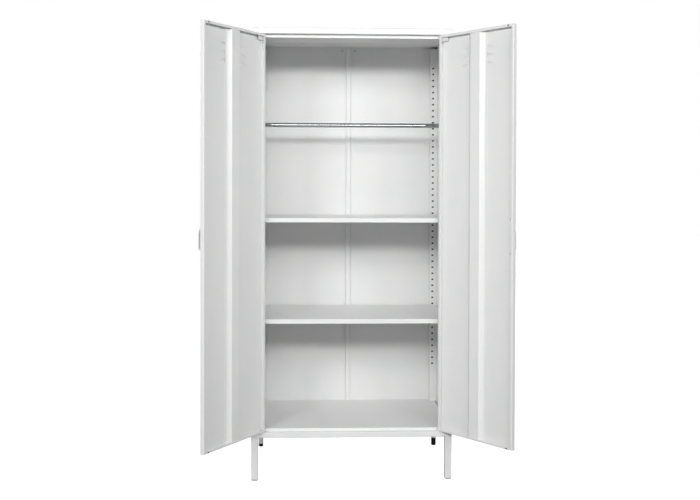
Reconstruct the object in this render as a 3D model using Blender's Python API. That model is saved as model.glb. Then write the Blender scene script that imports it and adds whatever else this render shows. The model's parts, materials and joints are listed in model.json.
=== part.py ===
"""A two-door steel wardrobe cabinet on four legs, with both doors standing open. Metres, +Z up.

The origin is on the floor, under the middle of the box that the open cabinet fills. In the cabinet's own
frame X is measured from its centre plane, Y from its front face towards the back, and Z from the floor.
Each door is modelled shut, in a frame whose origin is its pivot line, and is then turned open.
"""

import math

import bmesh
import bpy
from mathutils import Vector

# Body
WIDTH = 0.800
DEPTH = 0.500
HEIGHT = 1.800
LEG_HEIGHT = 0.172  # floor to the underside of the body
SHEET = 0.0012
BEND = 0.0010  # inside radius of a fold
BEND_STEPS = 3
GAP = 0.0003  # between pieces that touch
BACK_SHEET = 0.0012
PAST = 0.010  # how far a cutter runs past the wall it cuts

# Front frame, which the doors close into
STILE_WIDTH = 0.027
HEADER_HEIGHT = 0.0235
BOTTOM_RAIL_HEIGHT = 0.0220
BUFFER_ROOM = 0.003  # from a shut door to the stop behind it
STILE_LIP = 0.026  # how far the stop reaches in from the stile
HEADER_LIP = 0.0125
FLOOR_STEP = 0.0110  # floor surface above the bottom rail
STILE_RETURN = 0.008
STILE_SIDE = 0.030
RAIL_RETURN = 0.015
REAR_FLANGE = 0.025
SIDE_FLANGE = 0.016
FLOOR_SIDE_GAP = 0.007  # floor or shelf to the side panel's outer face

# Doors
DOOR_THICKNESS = 0.018
DOOR_LIP = 0.010
DOOR_SIDE_GAP = 0.0015
DOOR_BOTTOM_GAP = 0.0015
DOOR_TOP_GAP = 0.0020
DOOR_MIDDLE_GAP = 0.003
HINGE_INSET = 0.0095  # pivot line in from the door's hinge edge
HINGE_DEPTH = 0.0045  # pivot line behind the door's front face
LEFT_OPEN_DEG = 123.5
RIGHT_OPEN_DEG = 129.5
DOOR_EDGE_ROUND = 0.0012
STIFFENER_CROWN = 0.047
STIFFENER_RUN = 0.016  # curve of each side wall, across the door
STIFFENER_STEPS = 4
STIFFENER_FOOT = 0.010
STIFFENER_OFFSET = -0.002  # crown's middle from the middle of the door, towards the free edge
LOUVRE_COUNT = 3
LOUVRE_WIDTH = 0.164
LOUVRE_HEIGHT = 0.015
LOUVRE_PITCH = 0.031
LOUVRE_REACH = 0.0035
LOUVRE_RISE = 0.0040  # height of the sloping top of a hood
LOUVRE_WALL = 0.0010
LOUVRE_BELOW_TOP = 0.060
LOUVRE_OFFSET = 0.0025
BUFFER_RADIUS = 0.0034
BUFFER_FACE_RADIUS = 0.0024
BUFFER_CHAMFER = 0.0008
BUFFER_INSET = 0.0255  # from the door's free edge

# Pivots
PIN_RADIUS = 0.0025
PIN_HEAD_RADIUS = 0.0029
PIN_CLEARANCE = 0.0003
PIN_REACH = 0.011
PIN_POINT = 0.001
PIN_HEAD = 0.006
PIN_HEAD_GAP = 0.002  # between the head and the bracket above it
WASHER_RADIUS = 0.0040
HINGE_BRACKET_WIDTH = 0.036
HINGE_BRACKET_HEIGHT = 0.0245
HINGE_BRACKET_DEPTH = 0.009

# Handles
HANDLE_HOLES = 0.128
HANDLE_CENTRE_Z = 0.988
HANDLE_INSET = 0.0225  # from the door's free edge
HANDLE_WIDTH = 0.012
HANDLE_STRAP = 0.0045
HANDLE_GRIP_CLEAR = 0.0192  # finger room behind the grip
HANDLE_PAD = 0.010  # half the length of the flat end round each screw
HANDLE_GRIP_TOP = 0.050  # grip starts this far below the upper screw
HANDLE_GRIP_BOTTOM = 0.016  # and ends this far above the lower one
HANDLE_SEAT = 0.007  # flat length from each screw towards the grip
HANDLE_BEND = 0.0036
SCREW_RADIUS = 0.0020
SCREW_HEAD_RADIUS = 0.0040
SCREW_HEAD = 0.0024
SCREW_CROWN_RADIUS = 0.0028

# Perforated uprights
UPRIGHT_WIDTH = 0.022
UPRIGHT_LAP = 0.004  # how far an upright reaches in past the stile, behind its stop
UPRIGHT_DEPTH = 0.0290
UPRIGHT_TOP_GAP = 0.010
SLOT_WIDTH = 0.008
SLOT_HEIGHT = 0.006
SLOT_PITCH = 0.0271
FIRST_SLOT = 0.170  # lowest slot above the floor panel
TOP_SLOT_CLEAR = 0.085  # least height from the last slot to the underside of the top

# Shelves and rail
SHELF_THICKNESS = 0.018
SHELF_FRONT = 0.035
SHELF_BACK_CLEAR = 0.017
SHELF_NOTCH_CLEAR = 0.0025
SHELF_RETURN = 0.013
SHELF_EDGE_ROUND = 0.0012
LOWER_SHELF_SLOT = 9
UPPER_SHELF_SLOT = 24
CLIP_WIDTH = 0.007
CLIP_REACH = 0.016
CLIP_SHEET = 0.0015
CLIP_HOOK = 0.007  # how far each part of a clip reaches below the middle of its slot
CLIP_THROAT = 0.002
CLIP_BEARING = 0.010
RAIL_BELOW_TOP = 0.369
RAIL_RADIUS = 0.0095
RAIL_WALL = 0.0010
RAIL_CUP = 0.012
CUP_WALL = 0.0025
CUP_FLANGE_RADIUS = 0.019
CUP_FLANGE = 0.0025

# Back joint
STRIP_WIDTH = 0.020
STRIP_DEPTH = 0.0105
FLANGE_SCREW_OUT = 0.028
FLANGE_SCREW_DOWN = 0.018
FLANGE_SCREW_RADIUS = 0.0035
FLANGE_SCREW_CROWN_RADIUS = 0.0021
FLANGE_SCREW_HEAD = 0.0020

# Legs
FRONT_LEG = 0.027
REAR_LEG = 0.020
LEG_WALL = 0.0015
LEG_ROUND = 0.0015
FRONT_FOOT_HEIGHT = 0.008
REAR_FOOT_LEFT_HEIGHT = 0.014
REAR_FOOT_RIGHT_HEIGHT = 0.034
FOOT_PLUG = 0.016
FOOT_ROUND = 0.002

ROUND_STEPS = 24

# Sizes that follow
HALF = WIDTH / 2
RECESS = DOOR_THICKNESS + BUFFER_ROOM  # front face to the stop that the doors close against
INSIDE_BACK = DEPTH - BACK_SHEET - GAP
OPENING_HALF = HALF - STILE_WIDTH
HEADER_BOTTOM = HEIGHT - HEADER_HEIGHT
RAIL_TOP = LEG_HEIGHT + BOTTOM_RAIL_HEIGHT
FLOOR_TOP = RAIL_TOP + FLOOR_STEP
CEILING = HEIGHT - SHEET
RAIL_Z = HEIGHT - RAIL_BELOW_TOP
DOOR_BOTTOM = RAIL_TOP + DOOR_BOTTOM_GAP
DOOR_TOP = HEADER_BOTTOM - DOOR_TOP_GAP
PIVOT_X = OPENING_HALF - DOOR_SIDE_GAP - HINGE_INSET
LEAF = PIVOT_X - DOOR_MIDDLE_GAP / 2  # pivot line to free edge
DOOR_MIDDLE = (LEAF - HINGE_INSET) / 2
SKIN_OUT = -HINGE_DEPTH
SKIN_IN = SKIN_OUT + SHEET
LIP_IN = SKIN_OUT + DOOR_THICKNESS
LIP_OUT = LIP_IN - SHEET
HANDLE_X = LEAF - HANDLE_INSET
UPRIGHT_X = (OPENING_HALF - UPRIGHT_LAP, OPENING_HALF - UPRIGHT_LAP + UPRIGHT_WIDTH)
UPRIGHT_MIDDLE = sum(UPRIGHT_X) / 2
FRONT_UPRIGHT_Y = (RECESS + SHEET + GAP, RECESS + SHEET + GAP + UPRIGHT_DEPTH)
FLANGE_FRONT = INSIDE_BACK - SHEET  # inner face of the folds that the back panels are fixed to
REAR_UPRIGHT_Y = (FLANGE_FRONT - GAP - UPRIGHT_DEPTH, FLANGE_FRONT - GAP)
SLOT_COUNT = int((CEILING - TOP_SLOT_CLEAR - FLOOR_TOP - FIRST_SLOT) / SLOT_PITCH) + 1
STRIP_FRONT = INSIDE_BACK - STRIP_DEPTH
SIDES = {"left": -1, "right": 1}


def door_corners(open_deg):
    """The free corners of an open door, with its handle: (across from the pivot, forward of the pivot)."""
    turn = math.radians(open_deg)
    grip = SKIN_OUT - GAP - HANDLE_GRIP_CLEAR - HANDLE_STRAP
    points = [(LEAF, SKIN_OUT), (LEAF, LIP_IN), (HANDLE_X + HANDLE_WIDTH / 2, grip)]
    across = [-math.cos(turn) * s - math.sin(turn) * w for s, w in points]
    forward = [math.sin(turn) * s - math.cos(turn) * w for s, w in points]
    return max(across), max(forward)


LEFT_REACH = door_corners(LEFT_OPEN_DEG)
RIGHT_REACH = door_corners(RIGHT_OPEN_DEG)
CENTRE_X = (LEFT_REACH[0] - RIGHT_REACH[0]) / 2
FRONT_Y = (max(LEFT_REACH[1], RIGHT_REACH[1]) - HINGE_DEPTH - DEPTH) / 2


# Shapes

PLANES = {"X": (1, 2, 0), "Y": (0, 2, 1), "Z": (0, 1, 2)}  # an outline's two axes, then the drawn-out one


def shape_from(mesh_builder):
    bmesh.ops.recalc_face_normals(mesh_builder, faces=mesh_builder.faces)
    mesh = bpy.data.meshes.new("shape")
    mesh_builder.to_mesh(mesh)
    mesh_builder.free()
    obj = bpy.data.objects.new("shape", mesh)
    bpy.context.scene.collection.objects.link(obj)
    return obj


def prism(outline, along, span):
    """A flat outline drawn out along an axis, from span[0] to span[1]."""
    first, second, third = PLANES[along]
    builder = bmesh.new()
    corners = []
    for a, b in outline:
        place = Vector((0, 0, 0))
        place[first], place[second], place[third] = a, b, span[0]
        corners.append(builder.verts.new(place))
    face = builder.faces.new(corners)
    drawn = bmesh.ops.extrude_face_region(builder, geom=[face])["geom"]
    travel = Vector((0, 0, 0))
    travel[third] = span[1] - span[0]
    moved = [v for v in drawn if isinstance(v, bmesh.types.BMVert)]
    bmesh.ops.translate(builder, vec=travel, verts=moved)
    return shape_from(builder)


def block(x, y, z):
    """A box from three (low, high) pairs."""
    (x0, x1), (y0, y1) = sorted(x), sorted(y)
    return prism([(x0, y0), (x1, y0), (x1, y1), (x0, y1)], "Z", sorted(z))


def rounded(path, radii):
    """The path with each inner corner turned into an arc of its own radius."""
    points = [path[0]]
    for (before, corner, after), radius in zip(zip(path, path[1:], path[2:]), radii):
        here = Vector(corner)
        back, on = (Vector(before) - here).normalized(), (Vector(after) - here).normalized()
        half = back.angle(on) / 2
        if radius <= 0 or half > math.pi / 2 - 1e-4:
            points.append(corner)
            continue
        centre = here + (back + on).normalized() * (radius / math.sin(half))
        start = here + back * (radius / math.tan(half)) - centre
        end = here + on * (radius / math.tan(half)) - centre
        for step in range(BEND_STEPS + 1):
            part = step / BEND_STEPS
            spoke = (start * (1 - part) + end * part).normalized() * radius
            points.append(tuple(centre + spoke))
    points.append(path[-1])
    return points


def offset(path, distance):
    """The path moved sideways, to the left of its own direction."""
    ways = [(Vector(b) - Vector(a)).normalized() for a, b in zip(path, path[1:])]
    lefts = [Vector((-way.y, way.x)) for way in ways]
    moved = [Vector(path[0]) + lefts[0] * distance]
    for corner, one, two in zip(path[1:], lefts, lefts[1:]):
        between = (one + two).normalized()
        moved.append(Vector(corner) + between * (distance / between.dot(one)))
    moved.append(Vector(path[-1]) + lefts[-1] * distance)
    return [tuple(point) for point in moved]


def folded(path, sheet=SHEET, bend=BEND):
    """The cut end of a folded sheet. The path is its outer face, and the sheet lies to the left of it."""
    near, far = [], []
    for before, corner, after in zip(path, path[1:], path[2:]):
        one, two = Vector(corner) - Vector(before), Vector(after) - Vector(corner)
        turns_left = one.x * two.y - one.y * two.x > 0
        near.append(bend + sheet if turns_left else bend)
        far.append(bend if turns_left else bend + sheet)
    return rounded(path, near) + rounded(offset(path, sheet), far)[::-1]


def across(side, outline):
    """An outline drawn for the right-hand side, put on either side."""
    return [(side * x, y) for x, y in outline]


def turned(profile, axis="Z", at=(0, 0, 0)):
    """A round piece from (radius, distance along its axis) points, which end on the axis or close a ring."""
    builder = bmesh.new()
    rings = [builder.verts.new((max(r, 0), 0, d)) for r, d in profile]
    closed_ring = min(r for r, _ in profile) > 0
    following = rings[1:] + rings[:1] if closed_ring else rings[1:]
    edges = [builder.edges.new(pair) for pair in zip(rings, following)]
    bmesh.ops.spin(
        builder,
        geom=rings + edges,
        cent=(0, 0, 0),
        axis=(0, 0, 1),
        angle=math.tau,
        steps=ROUND_STEPS,
        use_merge=True,
    )
    bmesh.ops.remove_doubles(builder, verts=builder.verts, dist=1e-6)
    if axis == "X":
        for vert in builder.verts:
            vert.co = Vector((vert.co.z, vert.co.x, vert.co.y))
    if axis == "Y":
        for vert in builder.verts:
            vert.co = Vector((vert.co.y, vert.co.z, vert.co.x))
    bmesh.ops.translate(builder, vec=Vector(at), verts=builder.verts)
    return shape_from(builder)


def combine(operation, body, tools):
    for tool in tools:
        modifier = body.modifiers.new(operation.title(), "BOOLEAN")
        modifier.operation = operation
        modifier.solver = "EXACT"
        modifier.object = tool
    bpy.context.view_layer.update()
    result = bpy.data.meshes.new_from_object(body.evaluated_get(bpy.context.evaluated_depsgraph_get()))
    body.modifiers.clear()
    body.data = result
    for tool in tools:
        bpy.data.objects.remove(tool)
    return body


def cut(body, *tools):
    return combine("DIFFERENCE", body, tools)


def join(body, *tools):
    return combine("UNION", body, tools)


def round_edges(body, radius, keep):
    """Rounds the edges that keep(one end, other end) picks."""
    builder = bmesh.new()
    builder.from_mesh(body.data)
    picked = [edge for edge in builder.edges if keep(*[vert.co for vert in edge.verts])]
    bmesh.ops.bevel(builder, geom=picked, offset=radius, segments=2, profile=0.5, affect="EDGES")
    builder.to_mesh(body.data)
    builder.free()
    return body


def through_sheet(face):
    """A span that runs past both faces of a sheet with one face at this height."""
    return face - PAST / 2, face + PAST / 2


def hole(x, y, z, radius=PIN_RADIUS + PIN_CLEARANCE):
    """An upright round cutter."""
    return turned([(0, z[0]), (radius, z[0]), (radius, z[1]), (0, z[1])], at=(x, y, 0))


# Finishes


def finish(name, colour, roughness, metallic=0.0):
    material = bpy.data.materials.new(name)
    material.use_nodes = True
    shader = material.node_tree.nodes["Principled BSDF"]
    shader.inputs["Base Color"].default_value = (*colour, 1)
    shader.inputs["Roughness"].default_value = roughness
    shader.inputs["Metallic"].default_value = metallic
    return material


def piece(name, body, material, parent):
    body.name = name
    body.data.name = name
    body.data.materials.clear()
    body.data.materials.append(material)
    body.data.set_sharp_from_angle(angle=math.radians(30))
    body.parent = parent
    return body


def pivot(name, place, turn=0.0, parent=None):
    frame = bpy.data.objects.new(name, None)
    bpy.context.scene.collection.objects.link(frame)
    frame.location = place
    frame.rotation_euler.z = turn
    frame.parent = parent
    return frame


# Body


def side_panel(side):
    path = [(HALF, 0), (HALF, INSIDE_BACK), (HALF - SIDE_FLANGE, INSIDE_BACK)]
    return prism(across(side, folded(path)), "Z", (LEG_HEIGHT, CEILING - GAP))


def frame_stile(side):
    """The folded front edge of one side, with the stop that its door closes against."""
    outside, inside = HALF - SHEET - GAP, OPENING_HALF
    stop_end = inside - STILE_LIP
    path = [
        (stop_end, RECESS + STILE_RETURN),
        (stop_end, RECESS),
        (inside, RECESS),
        (inside, 0),
        (outside, 0),
        (outside, STILE_SIDE),
    ]
    body = prism(across(side, folded(path)), "Z", (LEG_HEIGHT, CEILING - GAP))
    beside = (side * (inside - GAP), side * (stop_end - PAST))
    behind = (RECESS - PAST, RECESS + STILE_RETURN + PAST)
    below = block(beside, behind, (LEG_HEIGHT - PAST, FLOOR_TOP + GAP))
    above = block(beside, behind, (HEADER_BOTTOM - HEADER_LIP - GAP, HEIGHT))
    return cut(body, below, above)


def top_panel():
    path = [
        (INSIDE_BACK, HEIGHT - REAR_FLANGE),
        (INSIDE_BACK, HEIGHT),
        (0, HEIGHT),
        (0, HEADER_BOTTOM),
        (RECESS, HEADER_BOTTOM),
        (RECESS, HEADER_BOTTOM - HEADER_LIP),
    ]
    body = prism(folded(path), "X", (-HALF, HALF))
    under = (HEADER_BOTTOM - HEADER_LIP - PAST, CEILING)
    tools = []
    for side in SIDES.values():
        tools.append(block((side * (OPENING_HALF - GAP), side * (HALF + PAST)), (-PAST, DEPTH), under))
        tools.append(hole(side * PIVOT_X, HINGE_DEPTH, through_sheet(HEADER_BOTTOM)))
    strip_half = STRIP_WIDTH / 2 + GAP
    tools.append(block((-strip_half, strip_half), (STRIP_FRONT, DEPTH), under))
    return cut(body, *tools)


def floor_panel():
    path = [
        (INSIDE_BACK, LEG_HEIGHT),
        (INSIDE_BACK, FLOOR_TOP),
        (RECESS, FLOOR_TOP),
        (RECESS, RAIL_TOP),
        (0, RAIL_TOP),
        (0, LEG_HEIGHT),
        (RAIL_RETURN, LEG_HEIGHT),
    ]
    half = HALF - FLOOR_SIDE_GAP
    body = prism(folded(path), "X", (-half, half))
    full_height = (LEG_HEIGHT - PAST, FLOOR_TOP + PAST)
    tools = []
    for side in SIDES.values():
        corner_x = (side * (OPENING_HALF - GAP), side * (HALF + PAST))
        corner_y = (-PAST, RECESS + SHEET + GAP)
        tools.append(block(corner_x, corner_y, full_height))
        flange_x = (side * (HALF - SIDE_FLANGE - GAP), side * (HALF + PAST))
        flange_y = (FLANGE_FRONT - GAP, DEPTH)
        tools.append(block(flange_x, flange_y, full_height))
        tools.append(hole(side * PIVOT_X, HINGE_DEPTH, through_sheet(RAIL_TOP)))
    return cut(body, *tools)


def back_panel(side):
    return block((side * GAP / 2, side * HALF), (DEPTH - BACK_SHEET, DEPTH), (LEG_HEIGHT, HEIGHT))


def back_strip():
    half = STRIP_WIDTH / 2
    path = [(-half, INSIDE_BACK), (-half, STRIP_FRONT), (half, STRIP_FRONT), (half, INSIDE_BACK)]
    return prism(folded(path), "Z", (FLOOR_TOP + GAP, CEILING - GAP))


def upright(side, at_front):
    """A channel with a column of slots in the face that looks along the shelf."""
    near, far = UPRIGHT_X
    front, back = FRONT_UPRIGHT_Y if at_front else REAR_UPRIGHT_Y
    if at_front:
        path, face = [(far, front), (far, back), (near, back), (near, front)], back - SHEET
    else:
        path, face = [(near, back), (near, front), (far, front), (far, back)], front
    body = prism(across(side, folded(path)), "Z", (FLOOR_TOP + GAP, CEILING - UPRIGHT_TOP_GAP))
    middle = side * UPRIGHT_MIDDLE
    through = (face - BEND / 2, face + SHEET + BEND / 2)
    slots = []
    for count in range(SLOT_COUNT):
        z = slot_height(count)
        wide = (middle - SLOT_WIDTH / 2, middle + SLOT_WIDTH / 2)
        slots.append(block(wide, through, (z - SLOT_HEIGHT / 2, z + SLOT_HEIGHT / 2)))
    return cut(body, all_of(slots))


def all_of(bodies):
    """Separate cutters put into one mesh."""
    builder = bmesh.new()
    for body in bodies:
        builder.from_mesh(body.data)
        bpy.data.objects.remove(body)
    return shape_from(builder)


def slot_height(count):
    return FLOOR_TOP + FIRST_SLOT + count * SLOT_PITCH


# Shelves, clips and the hanging rail


def shelf(slot):
    """A tray turned upside down, notched round the four uprights, with its front edge folded under."""
    under = shelf_underside(slot)
    top = under + SHELF_THICKNESS
    wide, narrow = HALF - FLOOR_SIDE_GAP, UPRIGHT_X[0] - SHELF_NOTCH_CLEAR
    front, back = SHELF_FRONT, INSIDE_BACK - SHELF_BACK_CLEAR
    notch_front = FRONT_UPRIGHT_Y[1] + SHELF_NOTCH_CLEAR
    notch_back = REAR_UPRIGHT_Y[0] - SHELF_NOTCH_CLEAR

    def outline(inset):
        half = [
            (narrow - inset, front + inset),
            (narrow - inset, notch_front + inset),
            (wide - inset, notch_front + inset),
            (wide - inset, notch_back - inset),
            (narrow - inset, notch_back - inset),
            (narrow - inset, back - inset),
        ]
        return half + across(-1, half)[::-1]

    body = prism(outline(0), "Z", (under, top))
    hollow = prism(outline(SHEET), "Z", (under - PAST, top - SHEET))
    body = cut(body, hollow)
    half = narrow - SHEET / 2
    edge = block((-half, half), (front + SHEET / 2, front + SHELF_RETURN), (under, under + SHEET))
    body = join(body, edge)

    def on_front_edge(one, other):
        return at(front, one.y, other.y) and (at(top, one.z, other.z) or at(under, one.z, other.z))

    return round_edges(body, SHELF_EDGE_ROUND, on_front_edge)


def at(value, *places):
    return all(abs(place - value) < 1e-5 for place in places)


def shelf_underside(slot):
    return slot_height(slot) + CLIP_SHEET + 2 * GAP


def shelf_clip(side, at_front, slot):
    """A bent clip: a hook behind the slotted face, a bearing plate before it and a tongue under the shelf."""
    z = slot_height(slot)
    top = CLIP_SHEET + GAP
    behind = -SHEET - GAP
    outline = [
        (behind - CLIP_SHEET, -CLIP_HOOK),
        (behind, -CLIP_HOOK),
        (behind, -CLIP_THROAT),
        (GAP, -CLIP_THROAT),
        (GAP, -CLIP_BEARING),
        (GAP + CLIP_SHEET, -CLIP_BEARING),
        (GAP + CLIP_SHEET, GAP),
        (CLIP_REACH, GAP),
        (CLIP_REACH, top),
        (behind - CLIP_SHEET, top),
    ]
    face, way = (FRONT_UPRIGHT_Y[1], 1) if at_front else (REAR_UPRIGHT_Y[0], -1)
    placed = [(face + way * out, z + up) for out, up in outline]
    middle = side * UPRIGHT_MIDDLE
    return prism(placed, "X", (middle - CLIP_WIDTH / 2, middle + CLIP_WIDTH / 2))


def hanging_rail():
    half = HALF - SHEET - GAP - CUP_FLANGE - GAP
    inner = RAIL_RADIUS - RAIL_WALL
    profile = [(RAIL_RADIUS, -half), (RAIL_RADIUS, half), (inner, half), (inner, -half)]
    return turned(profile, "X", (0, DEPTH / 2, RAIL_Z))


def rail_bracket(side):
    """A round cup screwed to the side panel, which the rail's end drops into."""
    wall = HALF - SHEET - GAP
    inner = RAIL_RADIUS + GAP
    outer = inner + CUP_WALL
    profile = [
        (0, wall),
        (CUP_FLANGE_RADIUS, wall),
        (CUP_FLANGE_RADIUS, wall - CUP_FLANGE),
        (outer, wall - CUP_FLANGE),
        (outer, wall - RAIL_CUP),
        (inner, wall - RAIL_CUP),
        (inner, wall - CUP_FLANGE),
        (0, wall - CUP_FLANGE),
    ]
    return turned([(r, side * d) for r, d in profile], "X", (0, DEPTH / 2, RAIL_Z))


# Legs


def leg_places(side, at_front):
    size = FRONT_LEG if at_front else REAR_LEG
    y = (0, size) if at_front else (INSIDE_BACK - size, INSIDE_BACK)
    return (side * (HALF - size), side * HALF), y


def shrunk(pair, by):
    low, high = sorted(pair)
    return low + by, high - by


def leg(side, at_front, foot_height):
    x, y = leg_places(side, at_front)
    tube = block(x, y, (foot_height + GAP, LEG_HEIGHT - GAP))
    bore = block(shrunk(x, LEG_WALL), shrunk(y, LEG_WALL), (0, LEG_HEIGHT))
    return cut(round_edges(tube, LEG_ROUND, upright_edge), bore)


def upright_edge(one, other):
    return abs(one.z - other.z) > GAP


def foot_edge(one, other):
    return at(0, one.z, other.z) or upright_edge(one, other)


def foot(side, at_front, height):
    """A pad as wide as the leg, with a plug that goes up inside it."""
    x, y = leg_places(side, at_front)
    pad = round_edges(block(x, y, (0, height)), FOOT_ROUND, foot_edge)
    plug_gap = LEG_WALL + GAP
    plug = block(shrunk(x, plug_gap), shrunk(y, plug_gap), (height / 2, height + FOOT_PLUG))
    return join(pad, plug)


# Doors, in their own frame: across from the pivot line to the free edge, then through the door to the inside


def door_panel(way):
    """A pan with its edges folded back and in again, and pressed louvres near the top."""
    body = block(door_span(way, 0), (SKIN_OUT, LIP_IN), (DOOR_BOTTOM, DOOR_TOP))
    body = round_edges(body, DOOR_EDGE_ROUND, face_edge)
    hollow = block(door_span(way, SHEET), (SKIN_IN, LIP_OUT), (DOOR_BOTTOM + SHEET, DOOR_TOP - SHEET))
    clear = (DOOR_BOTTOM + DOOR_LIP, DOOR_TOP - DOOR_LIP)
    mouth = block(door_span(way, DOOR_LIP), (LIP_OUT - BEND, LIP_IN + BEND), clear)
    body = cut(cut(body, hollow), mouth)
    hoods = [louvre(way, count, 0) for count in range(LOUVRE_COUNT)]
    body = join(body, *hoods)
    slits = [louvre(way, count, LOUVRE_WALL) for count in range(LOUVRE_COUNT)]
    pin_holes = [hole(0, 0, through_sheet(DOOR_BOTTOM)), hole(0, 0, through_sheet(DOOR_TOP))]
    screw_holes = [screw_hole(way, z) for z in screw_heights()]
    return cut(body, *slits, *pin_holes, *screw_holes)


def door_span(way, inset):
    return way * (inset - HINGE_INSET), way * (LEAF - inset)


def face_edge(one, other):
    return at(SKIN_OUT, one.y, other.y) or at(LIP_IN, one.y, other.y)


def louvre(way, count, inset):
    """A hood pressed outwards and open along its lower edge. With an inset, the space inside it."""
    top = DOOR_TOP - LOUVRE_BELOW_TOP - count * LOUVRE_PITCH
    bottom = top - LOUVRE_HEIGHT
    middle = DOOR_MIDDLE + LOUVRE_OFFSET
    half = LOUVRE_WIDTH / 2 - inset
    inner = SKIN_IN + SHEET if inset else (SKIN_IN + SKIN_OUT) / 2
    foot = bottom - inset
    face, shoulder = SKIN_OUT - LOUVRE_REACH + inset, top - LOUVRE_RISE - inset
    outline = [(inner, top - 2 * inset), (face, shoulder), (face, foot), (inner, foot)]
    return prism(outline, "X", sorted((way * (middle - half), way * (middle + half))))


def screw_heights():
    return HANDLE_CENTRE_Z - HANDLE_HOLES / 2, HANDLE_CENTRE_Z + HANDLE_HOLES / 2


def screw_hole(way, z):
    radius = SCREW_RADIUS + GAP
    low, high = SKIN_OUT - HANDLE_STRAP - 2 * GAP, SKIN_IN + GAP
    return turned([(0, low), (radius, low), (radius, high), (0, high)], "Y", (way * HANDLE_X, 0, z))


def door_stiffener(way):
    """A hat channel behind the skin, from the bottom fold to the top fold."""
    middle = DOOR_MIDDLE + STIFFENER_OFFSET
    crown, base = LIP_OUT - GAP, SKIN_IN + GAP
    foot = base + SHEET
    half = [(STIFFENER_CROWN / 2 + STIFFENER_RUN + STIFFENER_FOOT, foot)]
    for step in range(STIFFENER_STEPS + 1):
        up = step / STIFFENER_STEPS
        half.append((STIFFENER_CROWN / 2 + STIFFENER_RUN * (1 - up), foot + (crown - foot) * up**2))
    path = [(middle + out, y) for out, y in half] + [(middle - out, y) for out, y in reversed(half)]
    span = (DOOR_BOTTOM + SHEET + GAP, DOOR_TOP - SHEET - GAP)
    return prism([(way * x, y) for x, y in folded(path)], "Z", span)


def hinge_bracket(way):
    """A strap in the pan's upper hinge corner that steadies the pivot pin."""
    low, high = SKIN_IN + GAP, SKIN_IN + GAP + HINGE_BRACKET_DEPTH
    top = DOOR_TOP - SHEET - GAP
    bottom = top - HINGE_BRACKET_HEIGHT
    start = -HINGE_INSET + SHEET + GAP
    path = [(low, bottom), (high, bottom), (high, top), (low, top)]
    body = prism(folded(path), "X", sorted((way * start, way * (start + HINGE_BRACKET_WIDTH))))
    return cut(body, hole(0, 0, (bottom - PAST, top + PAST)))


def top_pin():
    head = DOOR_TOP - SHEET - GAP - HINGE_BRACKET_HEIGHT - PIN_HEAD_GAP
    bottom, top = head - PIN_HEAD, HEADER_BOTTOM + PIN_REACH
    profile = [(0, bottom), (PIN_HEAD_RADIUS, bottom), (PIN_HEAD_RADIUS, head), (PIN_RADIUS, head)]
    return turned(profile + pin_point(top))


def pin_point(top):
    return [(PIN_RADIUS, top - PIN_POINT), (PIN_RADIUS - PIN_POINT, top), (0, top)]


def bottom_pin(side):
    bottom, top = RAIL_TOP - SHEET - PIN_REACH, DOOR_BOTTOM + PIN_REACH
    profile = [(0, bottom), (PIN_RADIUS, bottom)] + pin_point(top)
    return turned(profile, at=(side * PIVOT_X, HINGE_DEPTH, 0))


def hinge_washer(side):
    low, high = RAIL_TOP + GAP, DOOR_BOTTOM - GAP
    inner = PIN_RADIUS + PIN_CLEARANCE
    profile = [(inner, low), (WASHER_RADIUS, low), (WASHER_RADIUS, high), (inner, high)]
    return turned(profile, at=(side * PIVOT_X, HINGE_DEPTH, 0))


def door_handle(way):
    """A bow handle of bent strap. It leaves the door gently at the top and sharply at the bottom."""
    low, high = screw_heights()
    seat = SKIN_OUT - GAP
    grip = seat - HANDLE_GRIP_CLEAR
    path = [
        (seat, low - HANDLE_PAD),
        (seat, low + HANDLE_SEAT),
        (grip, low + HANDLE_GRIP_BOTTOM),
        (grip, high - HANDLE_GRIP_TOP),
        (seat, high - HANDLE_SEAT),
        (seat, high + HANDLE_PAD),
    ]
    strap = folded(path, HANDLE_STRAP, HANDLE_BEND)
    x = way * HANDLE_X
    body = prism(strap, "X", (x - HANDLE_WIDTH / 2, x + HANDLE_WIDTH / 2))
    return cut(body, *[screw_hole(way, z) for z in (low, high)])


def handle_screw(way, z):
    """A pan-head screw from inside the door into the handle."""
    seat = SKIN_IN + GAP
    tip = SKIN_OUT - HANDLE_STRAP
    top = seat + SCREW_HEAD
    profile = [(0, tip), (SCREW_RADIUS, tip), (SCREW_RADIUS, seat), (SCREW_HEAD_RADIUS, seat)]
    profile += [(SCREW_HEAD_RADIUS, top - SCREW_HEAD / 2), (SCREW_CROWN_RADIUS, top), (0, top)]
    return turned(profile, "Y", (way * HANDLE_X, 0, z))


def door_buffer(way, z):
    seat, face = LIP_IN + GAP, RECESS - HINGE_DEPTH - GAP
    profile = [(0, seat), (BUFFER_RADIUS, seat), (BUFFER_RADIUS, face - BUFFER_CHAMFER)]
    profile += [(BUFFER_FACE_RADIUS, face), (0, face)]
    return turned(profile, "Y", (way * (LEAF - BUFFER_INSET), 0, z))


def flange_screw(side):
    seat = FLANGE_FRONT - GAP
    crown = seat - FLANGE_SCREW_HEAD
    profile = [(0, seat), (FLANGE_SCREW_RADIUS, seat), (FLANGE_SCREW_CROWN_RADIUS, crown), (0, crown)]
    return turned(profile, "Y", (side * FLANGE_SCREW_OUT, 0, HEIGHT - FLANGE_SCREW_DOWN))


# Assembly

for leftover in list(bpy.data.objects):
    bpy.data.objects.remove(leftover)

white = finish("white_powder_coat", (0.86, 0.86, 0.86), 0.45)
chrome = finish("chrome_plate", (0.80, 0.80, 0.82), 0.12, 1.0)
zinc = finish("zinc_plate", (0.55, 0.55, 0.56), 0.35, 1.0)
black_plastic = finish("black_plastic", (0.02, 0.02, 0.02), 0.5)
grey_plastic = finish("grey_plastic", (0.70, 0.70, 0.70), 0.5)
rubber = finish("grey_rubber", (0.20, 0.20, 0.20), 0.8)

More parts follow.
